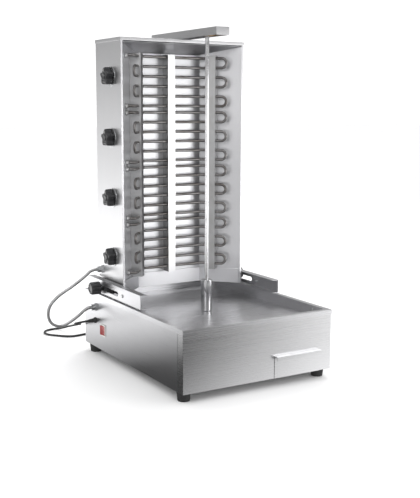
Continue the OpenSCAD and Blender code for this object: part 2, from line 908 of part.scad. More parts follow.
// An inverted channel with a closed front end; the top of the spit runs inside it.
module top_arm() {
    color(steel) at_front() difference() {
        block(-arm_w / 2, arm_w / 2, arm_front, heater_back - 3, heater_top, heater_top + arm_h);
        block(-arm_w / 2 + 2, arm_w / 2 - 2, arm_front + 2, heater_back, heater_top - 1,
            heater_top + arm_h - 2);
    }
}

module drive_shaft() {
    color("silver") at_front() rod_z(0, spit_y, pan_z - 58, pan_z + 50, shaft_d / 2);
}

module spit_socket() {
    color("silver") at_front() difference() {
        rod_z(0, spit_y, pan_z + 1, socket_top, socket_d / 2);
        rod_z(0, spit_y, pan_z, pan_z + 13, 14.5);
        rod_z(0, spit_y, pan_z, pan_z + 50, shaft_d / 2 + run);
        rod_z(0, spit_y, pan_z + 40, socket_top + 1, spit_d / 2 + run);
    }
}

module spit_rod() {
    color("silver") at_front() rod_z(0, spit_y, pan_z + 50, heater_top + 17, spit_d / 2);
}

module drawer_tray() {
    x = drawer_w / 2 - 6;
    z0 = foot_h + 3.4;
    z1 = drawer_z + drawer_h - 6;
    color(steel) at_front() translate([drawer_x, 0, 0]) difference() {
        block(-x, x, 1.2, 1.2 + drawer_len, z0, z1);
        block(-x + 1.2, x - 1.2, 2.4, drawer_len, z0 + 1.2, z1 + 1);
    }
}

// The front plate, folded out and down along its top edge to make the grip.
module drawer_front() {
    x = drawer_w / 2;
    z1 = drawer_z + drawer_h;
    color(steel) at_front() translate([drawer_x, 0, 0]) {
        block(-x, x, -0.3, 1.2, drawer_z, z1);
        block(-x, x, -grip_out, -0.3, z1 - sheet, z1);
        block(-x, x, -grip_out, -grip_out + sheet, z1 - 12, z1 - sheet);
    }
}

base_housing();
front_panel();
bottom_plate();
drip_pan();
pan_screws();
drain_spout();
feet();
foot_screws();
guide_rail_left();
guide_rail_right();
rail_screws();
gear_motor();
motor_bracket();
bearing_housing();
terminal_block();
drawer_runners();
switch_frame();
base_gland();
strain_relief();
spit_top_bush();
power_cord();
cord_coil();
cord_plug();
heater_conduit();
heater_shell();
heater_roof();
heater_floor();
rear_cover();
heater_screws();
hood_reflector();
back_reflector();
left_reflector();
right_reflector();
lower_reflector();
centre_comb();
left_comb();
right_comb();
heating_element(0);  // heating_element_1
heating_element(1);  // heating_element_2
heating_element(2);  // heating_element_3
heating_element(3);  // heating_element_4
heat_regulators();
knob_bezels();
heater_gland();
slide_shoe_left();
slide_shoe_right();
top_arm();
drive_shaft();
spit_socket();
spit_rod();
heat_knob(0);  // heat_knob_1
heat_knob(1);  // heat_knob_2
heat_knob(2);  // heat_knob_3
heat_knob(3);  // heat_knob_4
lock_knob_left();
lock_knob_right();
switch_rocker();
drawer_tray();
drawer_front();
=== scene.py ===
import math

import bpy
from mathutils import Matrix, Quaternion, Vector


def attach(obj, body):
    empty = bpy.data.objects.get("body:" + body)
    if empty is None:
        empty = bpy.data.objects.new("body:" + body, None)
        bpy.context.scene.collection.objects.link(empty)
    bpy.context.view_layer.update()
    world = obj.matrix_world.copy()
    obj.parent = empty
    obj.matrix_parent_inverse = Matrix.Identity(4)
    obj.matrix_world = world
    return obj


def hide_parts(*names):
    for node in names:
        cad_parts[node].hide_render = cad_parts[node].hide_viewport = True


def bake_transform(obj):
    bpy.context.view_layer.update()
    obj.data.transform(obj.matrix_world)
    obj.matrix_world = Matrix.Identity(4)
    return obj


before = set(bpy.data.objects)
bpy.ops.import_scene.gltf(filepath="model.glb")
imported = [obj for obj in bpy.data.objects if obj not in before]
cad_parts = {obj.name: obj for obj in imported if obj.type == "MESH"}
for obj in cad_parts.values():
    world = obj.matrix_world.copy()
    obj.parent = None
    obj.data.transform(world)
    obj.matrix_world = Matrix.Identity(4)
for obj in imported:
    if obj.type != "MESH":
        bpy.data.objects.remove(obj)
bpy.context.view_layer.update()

# Sizes and places are in millimetres until place() or MM turns them into metres.
# FRONT_Y is the row-frame y of the base's front, in metres.
FRONT_Y = -0.318
MM = 0.001
PI2 = 2 * math.pi


def place(x, depth, z):
    """A row-frame point from millimetres, with depth measured back from the base's front."""
    return Vector((x * MM, depth * MM + FRONT_Y, z * MM))


# ---------------------------------------------------------------- camera

CAMERA_AT = Vector((-1.3672, -2.2975, 0.7871))
CAMERA_YAW, CAMERA_PITCH, CAMERA_ROLL = -0.545, 0.159, 0.004
CAMERA_LENS = 64.23
SENSOR_WIDTH = 36
CAMERA_SEES_TO = 50


def make_camera():
    """The camera, at the place and angle solved for the photograph."""
    forward = Vector((
        math.sin(-CAMERA_YAW) * math.cos(CAMERA_PITCH),
        math.cos(CAMERA_YAW) * math.cos(CAMERA_PITCH),
        -math.sin(CAMERA_PITCH),
    ))
    right = forward.cross(Vector((0, 0, 1))).normalized()
    up = right.cross(forward)
    roll_right = math.cos(CAMERA_ROLL) * right + math.sin(CAMERA_ROLL) * up
    roll_up = math.cos(CAMERA_ROLL) * up - math.sin(CAMERA_ROLL) * right
    turn = Matrix((roll_right, roll_up, -forward)).transposed()
    data = bpy.data.cameras.new("camera")
    data.sensor_width = SENSOR_WIDTH
    data.lens = CAMERA_LENS
    data.clip_end = CAMERA_SEES_TO
    camera = bpy.data.objects.new("camera", data)
    camera.matrix_world = Matrix.Translation(CAMERA_AT) @ turn.to_4x4()
    bpy.context.scene.collection.objects.link(camera)
    bpy.context.scene.camera = camera


make_camera()

# ---------------------------------------------------------------- mesh helpers

SMALL_SIDES, COLLAR_SIDES = 24, 40
PIECE_BEVEL_SEGMENTS = 3
PIECE_BEVEL_ANGLE = math.radians(30)


def make_object(name, verts, faces, material, body, smooth=True, bevel=0.0):
    """A mesh object with one material, riding on a body if one is named."""
    mesh = bpy.data.meshes.new(name)
    mesh.from_pydata([tuple(v) for v in verts], [], faces)
    mesh.validate()
    mesh.update()
    mesh.polygons.foreach_set("use_smooth", [smooth] * len(mesh.polygons))
    mesh.materials.append(material)
    obj = bpy.data.objects.new(name, mesh)
    bpy.context.scene.collection.objects.link(obj)
    if bevel:
        add_bevel(obj, bevel)
    if body:
        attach(obj, body)
    return obj


def add_bevel(obj, width):
    bevel = obj.modifiers.new("bevel", "BEVEL")
    bevel.width = width
    bevel.segments = PIECE_BEVEL_SEGMENTS
    bevel.limit_method = "ANGLE"
    bevel.angle_limit = PIECE_BEVEL_ANGLE
    bevel.use_clamp_overlap = True
    normals = obj.modifiers.new("normals", "WEIGHTED_NORMAL")
    normals.keep_sharp = False


def axes_for(axis):
    """Two unit vectors square to an axis and to each other."""
    axis = Vector(axis).normalized()
    helper = Vector((0, 0, 1)) if abs(axis.z) < 0.9 else Vector((1, 0, 0))
    u = helper.cross(axis).normalized()
    return axis, u, axis.cross(u)


def loft(rings, closed_ends=True):
    """Vertices and faces of a skin over rings with equal numbers of points."""
    sides = len(rings[0])
    verts = [p for ring in rings for p in ring]
    faces = []
    for i in range(len(rings) - 1):
        for j in range(sides):
            k = (j + 1) % sides
            a, b = i * sides, (i + 1) * sides
            faces.append((a + j, a + k, b + k, b + j))
    if closed_ends:
        faces.append(tuple(range(sides - 1, -1, -1)))
        faces.append(tuple((len(rings) - 1) * sides + j for j in range(sides)))
    return verts, faces


def lathe(name, profile, origin, axis, material, body, sides=48):
    """A turned piece from a profile of (distance along the axis, radius) in mm, end to end."""
    axis, u, v = axes_for(axis)
    rings = [
        [
            Vector(origin) + along * MM * axis
            + radius * MM * (math.cos(PI2 * j / sides) * u + math.sin(PI2 * j / sides) * v)
            for j in range(sides)
        ]
        for along, radius in profile
    ]
    verts, faces = loft(rings)
    return make_object(name, verts, faces, material, body)


def smooth_line(points, per_span):
    """A Catmull-Rom line through the points, with per_span steps from each to the next."""
    ends = [2 * points[0] - points[1], *points, 2 * points[-1] - points[-2]]
    line = []
    for i in range(1, len(ends) - 2):
        a, b, c, d = ends[i - 1:i + 3]
        for k in range(per_span):
            t = k / per_span
            line.append(0.5 * (
                2 * b + (c - a) * t + (2 * a - 5 * b + 4 * c - d) * t ** 2
                + (3 * b - a - 3 * c + d) * t ** 3
            ))
    line.append(points[-1])
    return line


def tube(points, radius_at, sides):
    """A tube along points; radius_at gives the radius at each point's distance along the line."""
    rings, travelled, u = [], 0.0, Vector((0, 0, 1))
    for i, p in enumerate(points):
        ahead = points[min(i + 1, len(points) - 1)]
        behind = points[max(i - 1, 0)]
        t = (ahead - behind).normalized()
        u = u - u.dot(t) * t
        u = u.normalized() if u.length > 1e-6 else axes_for(t)[1]
        v = t.cross(u)
        if i:
            travelled += (p - points[i - 1]).length
        r = radius_at(travelled)
        rings.append([
            p + r * (math.cos(PI2 * j / sides) * u + math.sin(PI2 * j / sides) * v)
            for j in range(sides)
        ])
    return loft(rings)


def length_of(points):
    return sum((b - a).length for a, b in zip(points, points[1:]))


# ---------------------------------------------------------------- materials


class Shader:
    """One Principled material with helpers for its procedural inputs."""

    def __init__(self, name, colour, metallic, roughness, **values):
        self.material = bpy.data.materials.new(name)
        self.material.use_nodes = True
        self.nodes = self.material.node_tree.nodes
        self.links = self.material.node_tree.links
        self.bsdf = self.nodes["Principled BSDF"]
        self.colour = (*colour, 1)
        self.bsdf.inputs["Base Color"].default_value = self.colour
        self.bsdf.inputs["Metallic"].default_value = metallic
        self.bsdf.inputs["Roughness"].default_value = roughness
        for key, value in values.items():
            self.bsdf.inputs[key.replace("_", " ")].default_value = value
        self.where = self.nodes.new("ShaderNodeTexCoord").outputs["Object"]

    def noise(self, scale, detail=4.0, rough=0.55, stretch=(1, 1, 1)):
        """Noise over the object's own coordinates."""
        mapping = self.nodes.new("ShaderNodeMapping")
        mapping.inputs["Scale"].default_value = stretch
        self.links.new(self.where, mapping.inputs["Vector"])
        noise = self.nodes.new("ShaderNodeTexNoise")
        noise.inputs["Scale"].default_value = scale
        noise.inputs["Detail"].default_value = detail
        noise.inputs["Roughness"].default_value = rough
        self.links.new(mapping.outputs["Vector"], noise.inputs["Vector"])
        return noise.outputs["Fac"]

    def facing_for_painted_light(self):
        """How far the surface faces the object's back; the mask for the comb's painted highlight.
        """
        split = self.nodes.new("ShaderNodeSeparateXYZ")
        turned = self.nodes.new("ShaderNodeTexCoord").outputs["Normal"]
        self.links.new(turned, split.inputs["Vector"])
        return split.outputs["Y"]

    def spread(self, fac, low, high, start=0.3, end=0.7):
        """Maps fac from start..end to low..high."""
        ramp = self.nodes.new("ShaderNodeMapRange")
        ramp.inputs["From Min"].default_value = start
        ramp.inputs["From Max"].default_value = end
        ramp.inputs["To Min"].default_value = low
        ramp.inputs["To Max"].default_value = high
        self.links.new(fac, ramp.inputs["Value"])
        return ramp.outputs["Result"]

    def tint(self, fac, other, start=0.35, end=0.7):
        """Mixes the base colour towards another one where fac is high."""
        mix = self.nodes.new("ShaderNodeMix")
        mix.data_type = "RGBA"
        self.links.new(self.spread(fac, 0, 1, start, end), mix.inputs["Factor"])
        source = self.bsdf.inputs["Base Color"]
        if source.is_linked:
            self.links.new(source.links[0].from_socket, mix.inputs["A"])
        else:
            mix.inputs["A"].default_value = self.colour
        mix.inputs["B"].default_value = (*other, 1)
        self.links.new(mix.outputs["Result"], source)

    def vary_roughness(self, fac, low, high):
        self.links.new(self.spread(fac, low, high), self.bsdf.inputs["Roughness"])

    def bump(self, fac, strength, distance):
        """Adds relief on top of any that is there already."""
        bump = self.nodes.new("ShaderNodeBump")
        bump.inputs["Strength"].default_value = strength
        bump.inputs["Distance"].default_value = distance
        source = self.bsdf.inputs["Normal"]
        if source.is_linked:
            self.links.new(source.links[0].from_socket, bump.inputs["Normal"])
        self.links.new(fac, bump.inputs["Height"])
        self.links.new(bump.outputs["Normal"], source)


METAL_RELIEF = 0.0002
SKIN_RELIEF = 0.0001


def brushed(name, colour, roughness, grain, relief=0.02, stain=0.05):
    """Brushed sheet: grain is how fine the brush lines are along x, y and z."""
    shader = Shader(name, colour, 1.0, roughness)
    lines = shader.noise(1.0, 3.0, 0.6, grain)
    clouds = shader.noise(5.0, 3.0)
    shader.vary_roughness(lines, roughness - 0.03, roughness + 0.04)
    shader.tint(clouds, [c * (1 - stain) for c in colour])
    shader.tint(lines, [c * (1 - stain / 2) for c in colour], 0.45, 0.75)
    shader.bump(lines, relief, METAL_RELIEF)
    return shader.material


def worn_metal(name, colour, stained, roughness, speckle=180.0, relief=0.1):
    """Plain metal with fine speckle and larger stained patches."""
    shader = Shader(name, colour, 1.0, roughness)
    spots = shader.noise(speckle, 5.0, 0.6)
    patches = shader.noise(18.0, 3.0)
    shader.vary_roughness(spots, roughness - 0.08, roughness + 0.12)
    shader.tint(patches, stained, 0.4, 0.68)
    shader.bump(spots, relief, METAL_RELIEF)
    return shader.material


def moulded(name, colour, roughness, grain=900.0, relief=0.12, worn=1.6, **values):
    """Moulded plastic or rubber with a fine skin texture and slightly rubbed patches."""
    shader = Shader(name, colour, 0.0, roughness, **values)
    skin = shader.noise(grain, 2.0)
    patches = shader.noise(30.0, 4.0)
    shader.vary_roughness(patches, roughness - 0.06, roughness + 0.1)
    shader.tint(patches, [min(1.0, c * worn) for c in colour], 0.5, 0.8)
    shader.bump(skin, relief, SKIN_RELIEF)
    return shader.material


def comb_steel_painted_light():
    """Punched strip: the dark steel stands in for the shade on the webs between the rods, and a
    painted highlight makes the faces that point to the front bright.
    """
    shader = Shader("comb_steel_painted_light", (0.34, 0.34, 0.345), 1.0, 0.34)
    shader.vary_roughness(shader.noise(180.0, 5.0, 0.6), 0.28, 0.44)
    shader.tint(shader.noise(18.0, 3.0), (0.24, 0.235, 0.23), 0.4, 0.68)
    # Painted highlight: faces that point to the front are tinted near white, chosen by their
    # normal.
    shader.tint(shader.facing_for_painted_light(), (0.86, 0.86, 0.865), -0.55, -0.95)
    shader.bump(shader.noise(240.0, 4.0), 0.08, METAL_RELIEF)
    return shader.material


MATERIALS = {
    "wall": brushed("wall_steel", (0.62, 0.62, 0.635), 0.30, (5, 5, 1700)),
    "front": brushed("front_steel", (0.64, 0.64, 0.65), 0.27, (5, 5, 1700)),
    "pan": brushed("pan_steel", (0.66, 0.66, 0.675), 0.28, (6, 1300, 1300)),
    "heater": brushed("heater_steel", (0.66, 0.66, 0.67), 0.33, (900, 900, 5)),
    "arm": brushed("arm_steel", (0.58, 0.58, 0.59), 0.30, (800, 6, 800)),
    "reflector": brushed(
        "reflector_sheet", (0.86, 0.86, 0.88), 0.42, (1100, 1100, 4), 0.03, 0.05),
    "hood": brushed("hood_sheet", (0.62, 0.62, 0.64), 0.48, (5, 900, 900), 0.02, 0.08),
    "comb": comb_steel_painted_light(),
    "element": worn_metal(
        "element_sheath", (0.30, 0.29, 0.285), (0.19, 0.175, 0.165), 0.38, 420.0),
    "chrome": worn_metal(
        "polished_shaft", (0.80, 0.80, 0.81), (0.72, 0.72, 0.73), 0.12, 60.0, 0.02),
    "zinc": worn_metal("zinc_plate", (0.68, 0.69, 0.70), (0.55, 0.56, 0.56), 0.26, 300.0),
    "conduit": worn_metal("conduit_steel", (0.60, 0.60, 0.605), (0.46, 0.46, 0.46), 0.40, 240.0),
    "bronze": worn_metal("sintered_bronze", (0.60, 0.42, 0.24), (0.42, 0.28, 0.15), 0.42),
    "black": moulded("black_phenolic", (0.022, 0.022, 0.024), 0.30, Coat_Weight=0.15),
    "shoe": moulded("shoe_plastic", (0.03, 0.03, 0.032), 0.45),
    "cord": moulded("cord_sheath", (0.020, 0.020, 0.021), 0.42, 1200.0),
    "rubber": moulded("foot_rubber", (0.028, 0.028, 0.028), 0.62, 500.0, 0.3),
    "red": moulded(
        "red_rocker", (0.26, 0.010, 0.010), 0.22, 600.0, 0.02, 1.2, Coat_Weight=0.4),
    "pale": moulded("pale_frame", (0.72, 0.71, 0.68), 0.38, 700.0, 0.08, 1.05),
    "paint": moulded("hammered_paint", (0.10, 0.12, 0.14), 0.40, 130.0, 0.5, 1.2),
}

# ---------------------------------------------------------------- cords

CORD_D = 0.007
CONDUIT_D = 0.010
CORD_SIDES, CONDUIT_SIDES = 14, 16

# The routes repeat the points of the CAD solids: (x, depth, z).
CORD_ROUTE = [
    (-272, 568, 114), (-279, 568, 114), (-293, 576, 111), (-303, 593, 105), (-300, 613, 99),
    (-288, 630, 93), (-274, 646, 88), (-262, 663, 83), (-253, 682, 78), (-246, 702, 72),
    (-241, 723, 67), (-237, 743, 61), (-234, 764, 55), (-232, 785, 49), (-230, 805, 43),
    (-227, 826, 37), (-224, 847, 31), (-221, 868, 25), (-219, 888, 19), (-221, 909, 12),
    (-230, 928, 6), (-247, 938, 4), (-267, 935, 4), (-285, 922, 4), (-295, 903, 4),
    (-295, 882, 4), (-286, 863, 4), (-272, 846, 4), (-257, 829, 4), (-241, 815, 4),
    (-221, 810, 4), (-200, 812, 4), (-178, 816, 4), (-156, 818, 4), (-137, 818, 4),
]
CONDUIT_ROUTE = [
    (-237, 579, 275), (-243, 579, 275), (-259, 577, 271), (-276, 574, 260), (-293, 572, 249),
    (-312, 570, 238), (-330, 568, 228), (-349, 566, 219), (-368, 564, 209), (-385, 562, 197),
    (-400, 561, 182), (-408, 561, 162), (-407, 562, 141), (-397, 564, 123), (-379, 565, 112),
    (-359, 567, 110), (-339, 567, 117), (-320, 565, 128), (-303, 563, 140), (-288, 562, 152),
    (-273, 562, 158), (-266, 562, 158),
]
COIL_X, COIL_DEPTH = -110, 771.5
COIL_OUTER = 46.5
COIL_TURNS = 4
TURN_POINTS = 40
# A turn lies a diameter inside the last, on the floor or on the layer below.
TURN_STEP, LAYER_RISE, PLUG_RISE = 7, 7, 6
CORD_LIES_AT = 4
COIL_START = (-123, 818, CORD_LIES_AT)
PLUG_X = COIL_X + 28
PLUG_DEPTH = COIL_DEPTH + COIL_OUTER
PLUG_R = 19
PIN_OFF = 9.5


def ease(start, end, value):
    """0 before start, 1 after end, and a smooth step between."""
    t = min(1.0, max(0.0, (value - start) / (end - start)))
    return t * t * (3 - 2 * t)


def coil_points():
    """Two layers of two turns, in on the floor and out again on top, then up towards the plug."""
    points = []
    for k in range(COIL_TURNS * TURN_POINTS + 1):
        turns = k / TURN_POINTS
        inward = min(turns, COIL_TURNS - turns)
        radius = COIL_OUTER - TURN_STEP * inward
        z = (CORD_LIES_AT + LAYER_RISE * ease(1.88, 2.12, turns)
             + PLUG_RISE * ease(3.72, 4.1, turns))
        angle = math.pi / 2 - PI2 * turns
        points.append(place(
            COIL_X + radius * math.cos(angle), COIL_DEPTH + radius * math.sin(angle), z))
    return points


def make_lead():
    """The mains lead, from the strain relief through its coil to the plug."""
    visible = smooth_line([place(*p) for p in CORD_ROUTE], 4)
    tail = [
        place(COIL_X + 9, PLUG_DEPTH, 17.3),
        place(COIL_X + 18, PLUG_DEPTH, 18.6),
        place(PLUG_X, PLUG_DEPTH, PLUG_R),
    ]
    line = visible + [place(*COIL_START)] + coil_points() + tail
    verts, faces = tube(line, lambda s: CORD_D / 2, CORD_SIDES)
    lead = make_object("mains_lead", verts, faces, MATERIALS["cord"], "base")
    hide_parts("power_cord", "cord_coil")
    return lead, line


def make_plug():
    """A moulded round plug with finger ribs, and its two pins with insulated roots."""
    start = place(PLUG_X, PLUG_DEPTH, PLUG_R)
    relief = [(0, 3.4), (0.4, 5.0)]
    for k in range(6):
        relief += [(3 + 4 * k, 5.4 + 0.8 * k), (3.6 + 4 * k, 4.9 + 0.8 * k),
                   (5.6 + 4 * k, 5.3 + 0.8 * k), (6.2 + 4 * k, 6.1 + 0.8 * k)]
    grip = [(28, 12.0), (28.6, 15.8), (30.5, 17.0)]
    for k in range(5):
        grip += [(33 + 4 * k, 17.3), (34 + 4 * k, 16.6), (35.6 + 4 * k, 16.6),
                 (36.6 + 4 * k, 17.4)]
    grip += [(55, 18.6), (57, 18.9), (57.7, 18.5), (58, 17.6), (58, 3.0)]
    body = lathe("plug_body", relief + grip, start, (1, 0, 0), MATERIALS["cord"], "base")
    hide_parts("cord_plug")
    pins = []
    for side in (-1, 1):
        foot = place(PLUG_X + 57.6, PLUG_DEPTH + PIN_OFF * side, PLUG_R)
        pins.append(lathe(
            f"plug_pin_{1 if side < 0 else 2}",
            [(0, 2.4), (17.6, 2.4), (19.4, 1.9), (20.3, 0.8)], foot, (1, 0, 0),
            MATERIALS["chrome"], "base", SMALL_SIDES))
    return [body, *pins]


TIE_OFF, TIE_Z, TIE_CORNER = 39.5, 7.5, 2.5
TIE_OUTER, TIE_INNER = (11.3, 8.0), (10.6, 7.3)
TIE_LOWEST = -7.4
# Each ring of the tie: how far along the lead it is, and how much its outside is drawn in.
TIE_RINGS = [(-4.0, 0.5), (-3.4, 0.0), (3.4, 0.0), (4.0, 0.5)]


def rounded_outline(half_y, half_z, corner, steps=4):
    """A rounded rectangle's (y, z) points."""
    outline = []
    for q in range(4):
        for k in range(steps + 1):
            a = math.pi / 2 * (q + k / steps)
            cy = (half_y - corner) * (1 if q in (0, 3) else -1)
            cz = (half_z - corner) * (1 if q in (0, 1) else -1)
            outline.append((cy + corner * math.cos(a), cz + corner * math.sin(a)))
    return outline


def make_tie():
    """The band that holds the coil's turns together, on the side away from the plug."""
    centre = place(COIL_X, COIL_DEPTH - TIE_OFF, TIE_Z)
    outer, inner = [], []
    for x, inset in TIE_RINGS:
        outside = rounded_outline(TIE_OUTER[0] - inset, TIE_OUTER[1] - inset, TIE_CORNER)
        inside = rounded_outline(*TIE_INNER, TIE_CORNER)
        outer.append([centre + Vector((x, y, max(z, TIE_LOWEST))) * MM for y, z in outside])
        inner.insert(0, [centre + Vector((x, y, z)) * MM for y, z in inside])
    verts, faces = loft([*outer, *inner, outer[0]], closed_ends=False)
    tie = make_object("coil_tie", verts, faces, MATERIALS["cord"], "base")
    return tie


RIB_PITCH, RIB_RELIEF, FERRULE = 0.0028, 0.00045, 0.008
POINTS_PER_RIB = 6


def make_conduit():
    """Wound metal conduit: close ribs all along, plain ferrules at the glands."""
    line = smooth_line([place(*p) for p in CONDUIT_ROUTE], 14)
    total = length_of(line)

    def radius_at(s):
        if s < FERRULE or s > total - FERRULE:
            return CONDUIT_D / 2
        return CONDUIT_D / 2 - RIB_RELIEF * (1 + math.cos(PI2 * s / RIB_PITCH)) / 2

    even = resample(line, int(total / RIB_PITCH * POINTS_PER_RIB))
    verts, faces = tube(even, radius_at, CONDUIT_SIDES)
    conduit = make_object("conduit_hose", verts, faces, MATERIALS["conduit"], None)
    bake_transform(conduit)
    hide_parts("heater_conduit")
    return conduit, even


def resample(line, count):
    """Evenly spaced points along a line."""
    marks = [0.0]
    for a, b in zip(line, line[1:]):
        marks.append(marks[-1] + (b - a).length)
    out, i = [], 0
    for k in range(count + 1):
        target = marks[-1] * k / count
        while i < len(line) - 2 and marks[i + 1] < target:
            i += 1
        t = (target - marks[i]) / max(marks[i + 1] - marks[i], 1e-9)
        out.append(line[i].lerp(line[i + 1], t))
    return out


lead, lead_line = make_lead()
plug_pieces = make_plug()
tie = make_tie()
conduit, conduit_line = make_conduit()

# ---------------------------------------------------------------- heating elements

HEATER_X, HEATER_FRONT, RECESS, HALF_BACK = 215, 431, 104, 115
BACK_DEPTH = HEATER_FRONT + RECESS
WING = math.atan2(RECESS, HEATER_X - HALF_BACK)
ROD_R, ROD_PITCH, ROD_LOW, ROD_OFF = 4.25, 30, 278, 25
RODS, ZONES, ZONE_GAP = 6, 4, 20
ZONE_H = (RODS - 1) * ROD_PITCH + ZONE_GAP
ELEMENT_END, BEND_R, TERMINAL_S, TERMINAL_R, TERMINAL_IN = 80, 18, 98, 12, 14
ROD_SIDES, CORNER_STEPS, TURN_STEPS = 16, 8, 12
COLLAR_LIFT = 0.2
COLLAR_PROFILE = [
    (0, 4.4), (0, 8.2), (1.0, 9.0), (2.4, 9.0), (3.2, 8.2), (3.4, 6.6), (7.5, 6.2), (8.2, 5.4),
    (8.2, 4.4),
]


def wing_point(s, off):
    """A plan point s along the right wing from its corner and off in front of it."""
    return (
        HALF_BACK + s * math.cos(WING) - off * math.sin(WING),
        BACK_DEPTH - s * math.sin(WING) - off * math.cos(WING),
    )


def half_rod(s):
    """Plan points from the middle of the back round the corner to s along the right wing."""
    cx = HALF_BACK - ROD_OFF * math.tan(WING / 2) - BEND_R * math.tan(WING / 2)
    cy = BACK_DEPTH - ROD_OFF - BEND_R
    arc = [
        (cx + BEND_R * math.sin(WING * k / CORNER_STEPS),
         cy + BEND_R * math.cos(WING * k / CORNER_STEPS))
        for k in range(CORNER_STEPS + 1)
    ]
    return [(0, cy + BEND_R), (60, cy + BEND_R), *arc, wing_point(s * 0.55, ROD_OFF),
            wing_point(s, ROD_OFF)]


def rod(s_left, z):
    """One rod from s_left on the left wing to the start of its half turn on the right one."""
    right = half_rod(ELEMENT_END)
    left = [(-x, y) for x, y in half_rod(s_left)][:0:-1]
    return [(x, y, z) for x, y in left + right]


def half_turn(side, z):
    """The U from the rod at height z to the next one up."""
    points = []
    for k in range(1, TURN_STEPS):
        a = math.pi * k / TURN_STEPS
        x, y = wing_point(ELEMENT_END + ROD_PITCH / 2 * math.sin(a), ROD_OFF)
        points.append((side * x, y, z + ROD_PITCH / 2 * (1 - math.cos(a))))
    return points


def cold_end(z):
    """The outer end of a rod, turning back through the left wing to its terminal."""
    x, y = wing_point(TERMINAL_S, -TERMINAL_IN)
    points = [(-x, y, z)]
    for k in range(CORNER_STEPS):
        a = math.pi / 2 * k / CORNER_STEPS
        x, y = wing_point(TERMINAL_S - TERMINAL_R * (1 - math.cos(a)),
                          ROD_OFF - TERMINAL_R * (1 - math.sin(a)))
        points.append((-x, y, z))
    return points


def rod_height(zone, k):
    return ROD_LOW + zone * ZONE_H + k * ROD_PITCH


def element_line(zone):
    """A zone's one tube, which winds up through all its rods."""
    line = []
    for k in range(RODS):
        z = rod_height(zone, k)
        outer = k in (0, RODS - 1)
        row = rod(TERMINAL_S - TERMINAL_R if outer else ELEMENT_END, z)
        if outer:
            row = cold_end(z) + row
        line += row if k % 2 == 0 else row[::-1]
        if k < RODS - 1:
            line += half_turn(1 if k % 2 == 0 else -1, z)
    return [place(*p) for p in line]


def make_elements():
    """Each zone's winding tube, and the collars where it enters the left wing."""
    x, depth = wing_point(TERMINAL_S, COLLAR_LIFT)
    for zone in range(ZONES):
        verts, faces = tube(element_line(zone), lambda s: ROD_R * MM, ROD_SIDES)
        sheath = make_object(
            f"element_tube_{zone + 1}", verts, faces, MATERIALS["element"], "carriage")
        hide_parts(f"heating_element_{zone + 1}")
        for k, end in ((0, "low"), (RODS - 1, "high")):
            collar = lathe(
                f"element_collar_{zone + 1}_{end}", COLLAR_PROFILE,
                place(-x, depth, rod_height(zone, k)), (math.sin(WING), -math.cos(WING), 0),
                MATERIALS["conduit"], "carriage", SMALL_SIDES)


make_elements()

# ---------------------------------------------------------------- knobs

KNOB_LOW, KNOB_PITCH, KNOB_DEPTH = 326, 183, 501
STUD_DEPTH, SLOT_Z, RAIL_X = 531, 226, 243


def star_radius(angle, outer, lobes, reach, bite, start):
    """Radius of a round knob with scallops of radius bite cut at distance reach."""
    step = PI2 / lobes
    off = (angle - start + step / 2) % step - step / 2
    side = reach * math.sin(off)
    if abs(side) >= bite:
        return outer
    return min(outer, reach * math.cos(off) - math.sqrt(bite * bite - side * side))


def eased_outline(outer, lobes, reach, bite, start, count, window):
    """The knob's radii all round, averaged over a window to round its corners."""
    raw = [star_radius(PI2 * k / count, outer, lobes, reach, bite, start) for k in range(count)]
    return [
        sum(raw[(k + d) % count] for d in range(-window, window + 1)) / (2 * window + 1)
        for k in range(count)
    ]


def fluted_knob(name, origin, axis, outline, profile, material, body):
    """A knob from an outline that each (distance, scale, roundness) of the profile shrinks."""
    axis, u, v = axes_for(axis)
    count = len(outline)
    mean = sum(outline) / count
    rings = []
    for along, scale, roundness in profile:
        rings.append([
            origin + along * MM * axis
            + scale * (r + (mean - r) * roundness) * MM
            * (math.cos(PI2 * k / count) * u + math.sin(PI2 * k / count) * v)
            for k, r in enumerate(outline)
        ])
    verts, faces = loft(rings)
    return make_object(name, verts, faces, material, body)


STAR = eased_outline(28, 5, 36, 17, math.pi / 2 + PI2 / 10, 150, 2)
STAR_PROFILE = [
    (0, 0.90, 0), (0.3, 0.96, 0), (1.2, 0.99, 0), (2.4, 1.0, 0), (17.0, 0.965, 0),
    (19.6, 0.94, 0), (21.2, 0.89, 0), (22.2, 0.81, 0), (22.4, 0.73, 0.1), (22.0, 0.64, 0.4),
    (21.0, 0.56, 0.8), (20.9, 0.50, 1), (21.6, 0.46, 1), (23.8, 0.44, 1), (24.4, 0.41, 1),
    (24.5, 0.35, 1), (24.1, 0.30, 1), (24.0, 0.04, 1),
]
LOCK = eased_outline(20, 10, 21.5, 4, math.pi / 2, 160, 1)
LOCK_PROFILE = [
    (5.0, 0.80, 0.6), (5.4, 0.92, 0.1), (6.6, 0.98, 0), (8.0, 1.0, 0), (32.0, 0.985, 0),
    (35.2, 0.95, 0), (37.2, 0.87, 0.1), (38.0, 0.74, 0.5), (37.8, 0.62, 1), (36.9, 0.56, 1),
    (36.8, 0.3, 1), (36.8, 0.04, 1),
]

SPINDLE_PROFILE = [(0, 3.0), (17.2, 3.0), (17.8, 2.5)]
LOCK_COLLAR_PROFILE = [(0.5, 5.2), (0.5, 10.4), (1.0, 11.0), (4.6, 11.0), (5.6, 10.4)]
POINTER_CORNERS = [
    (-21.0, -0.9, 15.6), (-21.0, 0.9, 15.6), (-20.6, 0.7, 24.4), (-20.6, -0.7, 24.4),
    (-22.75, -0.7, 16.0), (-22.75, 0.7, 16.0), (-22.2, 0.5, 23.8), (-22.2, -0.5, 23.8),
]
POINTER_FACES = [
    (3, 2, 1, 0), (4, 5, 6, 7), (0, 1, 5, 4), (1, 2, 6, 5), (2, 3, 7, 6), (3, 0, 4, 7),
]
POINTER_BEVEL = 0.0002
KNOB_OFF_WALL = 2


